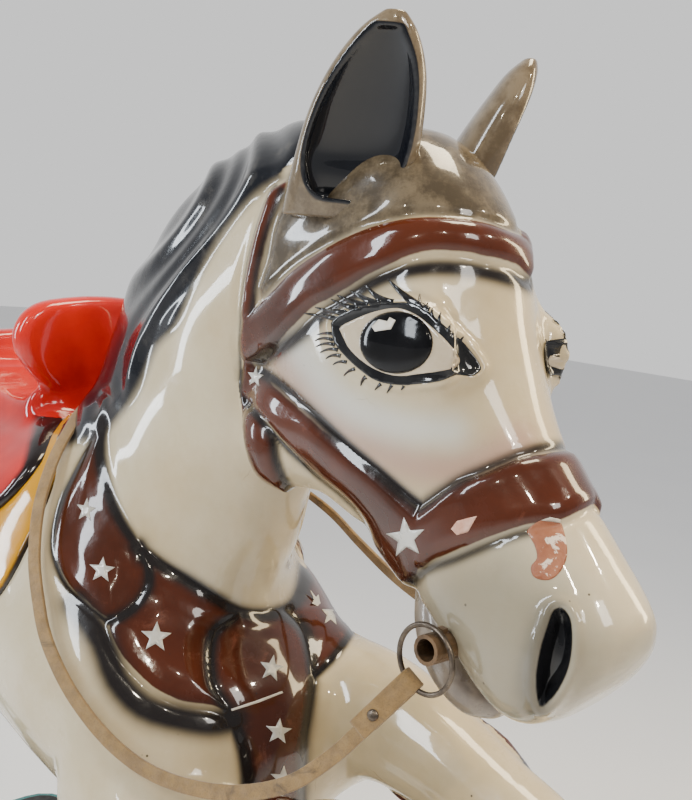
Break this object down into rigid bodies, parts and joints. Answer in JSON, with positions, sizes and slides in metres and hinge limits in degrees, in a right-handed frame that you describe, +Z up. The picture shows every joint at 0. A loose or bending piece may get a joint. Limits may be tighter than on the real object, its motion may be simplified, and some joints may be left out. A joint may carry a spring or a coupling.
{
  "type": "kiddie ride machine",
  "caption": "Coin-operated galloping-horse kiddie ride: glossy moulded horse with saddle, bridle and leather rein on a twin-crank carriage above a low drive cabinet, with a side coin box.",
  "frame": {"origin": "centre of the overall bounding box at floor level", "axes": "+Z up; the horse faces -Y, +Y runs back to the tail; +X is the horse's left side, where the coin box stands"},
  "size_m": [0.673, 1.524, 1.49],
  "materials": {
    "gelcoat_cream": "gloss",
    "mane_black": "gloss",
    "saddle_red": "gloss",
    "blanket_yellow": "gloss",
    "jaw_brown": "satin",
    "rein_leather": "matte",
    "bit_steel": "rusted",
    "teal_paint": "gloss",
    "red_paint": "gloss",
    "machine_steel": "satin",
    "grey_paint": "satin",
    "navy_paint": "satin",
    "chain_steel": "oiled",
    "rubber_black": "matte",
    "chrome_trim": "polished",
    "brass_lock": "satin",
    "button_red": "satin",
    "strap_leather": "satin"
  },
  "bodies": {
    "base": {"base_skirt": "teal_paint", "base_kick_band": "red_paint", "base_pan": "grey_paint", "deck_plate": "teal_paint", "deck_mat": "rubber_black", "foot_front_right": "rubber_black", "foot_front_left": "rubber_black", "foot_rear_right": "rubber_black", "foot_rear_left": "rubber_black", "control_box": "grey_paint", "cord_gland": "rubber_black", "bearing_stand_front_right": "grey_paint", "bearing_stand_front_left": "grey_paint", "bearing_stand_rear_right": "grey_paint", "bearing_stand_rear_left": "grey_paint", "gearbox": "grey_paint", "drive_motor": "navy_paint", "drive_chain": "chain_steel", "sync_chain": "chain_steel", "coin_box_housing": "teal_paint", "start_button_bezel": "chrome_trim"},
    "front_crank": {"crank_front": "machine_steel", "drive_sprocket": "chain_steel", "sync_sprocket_front": "chain_steel"},
    "rear_crank": {"crank_rear": "machine_steel", "sync_sprocket_rear": "chain_steel"},
    "output_shaft": {"output_sprocket": "chain_steel"},
    "carriage": {"carriage_beam": "navy_paint", "carriage_post_front": "chrome_trim", "carriage_post_rear": "chrome_trim", "mount_cradle": "teal_paint", "belly_block_front": "rubber_black", "belly_block_rear": "rubber_black", "horse_shell_right": "gelcoat_cream", "horse_shell_left": "gelcoat_cream", "lower_jaw": "jaw_brown", "foreleg_left": "gelcoat_cream", "foreleg_right": "gelcoat_cream", "hindleg_left": "gelcoat_cream", "hindleg_right": "gelcoat_cream", "tail": "mane_black", "saddle": "saddle_red", "saddle_blanket": "blanket_yellow", "bit_tube": "bit_steel", "rein_strap": "rein_leather"},
    "ring_right": {"rein_ring_right": "bit_steel"},
    "ring_left": {"rein_ring_left": "bit_steel"},
    "stirrup_right": {"stirrup_leather_right": "strap_leather", "stirrup_iron_right": "teal_paint"},
    "stirrup_left": {"stirrup_leather_left": "strap_leather", "stirrup_iron_left": "teal_paint"},
    "hatch": {"service_hatch": "teal_paint"},
    "door": {"coin_door": "machine_steel", "coin_entry_plate": "chrome_trim", "coin_return_cup": "rubber_black"},
    "return_button": {"coin_return_button": "button_red"},
    "lock": {"door_lock": "brass_lock"},
    "return_flap": {"coin_return_flap": "chrome_trim"},
    "start_push": {"start_button": "button_red"},
    "drawer": {"cash_drawer": "machine_steel"}
  },
  "joints": [
    {"name": "front_crank_spin", "type": "hinge", "parent": "base", "child": "front_crank", "pos_m": [-0.0675, -0.15674, 0.16], "axis": [1, 0, 0], "continuous": true},
    {"name": "carriage_level", "type": "hinge", "parent": "front_crank", "child": "carriage", "pos_m": [-0.0675, -0.15674, 0.135], "axis": [1, 0, 0], "continuous": true},
    {"name": "rear_crank_spin", "type": "hinge", "parent": "base", "child": "rear_crank", "pos_m": [-0.0675, 0.22326, 0.16], "axis": [1, 0, 0], "continuous": true},
    {"name": "output_shaft_spin", "type": "hinge", "parent": "base", "child": "output_shaft", "pos_m": [0.0625, 0.05326, 0.16], "axis": [1, 0, 0], "continuous": true},
    {"name": "rein_ring_right_swing", "type": "hinge", "parent": "carriage", "child": "ring_right", "pos_m": [-0.1405, -0.63174, 1.014], "axis": [1, 0, 0], "range_deg": [-15, 15], "deforming": ["rein_strap"]},
    {"name": "rein_ring_left_swing", "type": "hinge", "parent": "carriage", "child": "ring_left", "pos_m": [0.0055, -0.63174, 1.014], "axis": [1, 0, 0], "range_deg": [-15, 15], "deforming": ["rein_strap"]},
    {"name": "stirrup_right_swing", "type": "hinge", "parent": "carriage", "child": "stirrup_right", "pos_m": [-0.2765, 0.04826, 0.985], "axis": [1, 0, 0], "range_deg": [-25, 25]},
    {"name": "stirrup_left_swing", "type": "hinge", "parent": "carriage", "child": "stirrup_left", "pos_m": [0.1415, 0.04826, 0.985], "axis": [1, 0, 0], "range_deg": [-25, 25]},
    {"name": "service_hatch_hinge", "type": "hinge", "parent": "base", "child": "hatch", "pos_m": [-0.3275, -0.00674, 0.15], "axis": [0, 0, 1], "range_deg": [0, 100]},
    {"name": "coin_door_hinge", "type": "hinge", "parent": "base", "child": "door", "pos_m": [0.3165, 0.09526, 0.43], "axis": [0, 0, -1], "range_deg": [0, 100]},
    {"name": "coin_return_press", "type": "slide", "parent": "door", "child": "return_button", "axis": [-1, 0, 0], "range_m": [0, 0.004], "stiffness_N_per_m": 300},
    {"name": "door_lock_turn", "type": "hinge", "parent": "door", "child": "lock", "pos_m": [0.3165, 0.20926, 0.432], "axis": [1, 0, 0], "range_deg": [0, 90]},
    {"name": "return_flap_swing", "type": "hinge", "parent": "door", "child": "return_flap", "pos_m": [0.3145, 0.15726, 0.379], "axis": [0, 1, 0], "range_deg": [0, 40]},
    {"name": "start_button_press", "type": "slide", "parent": "base", "child": "start_push", "axis": [-1, 0, 0], "range_m": [0, 0.005], "stiffness_N_per_m": 400},
    {"name": "cash_drawer_slide", "type": "slide", "parent": "base", "child": "drawer", "axis": [1, 0, 0], "range_m": [0, 0.095]}
  ],
  "couplings": [
    {"joint": "carriage_level", "follows": "front_crank_spin", "ratio": -1},
    {"joint": "rear_crank_spin", "follows": "front_crank_spin", "ratio": 1},
    {"joint": "output_shaft_spin", "follows": "front_crank_spin", "ratio": 2}
  ]
}
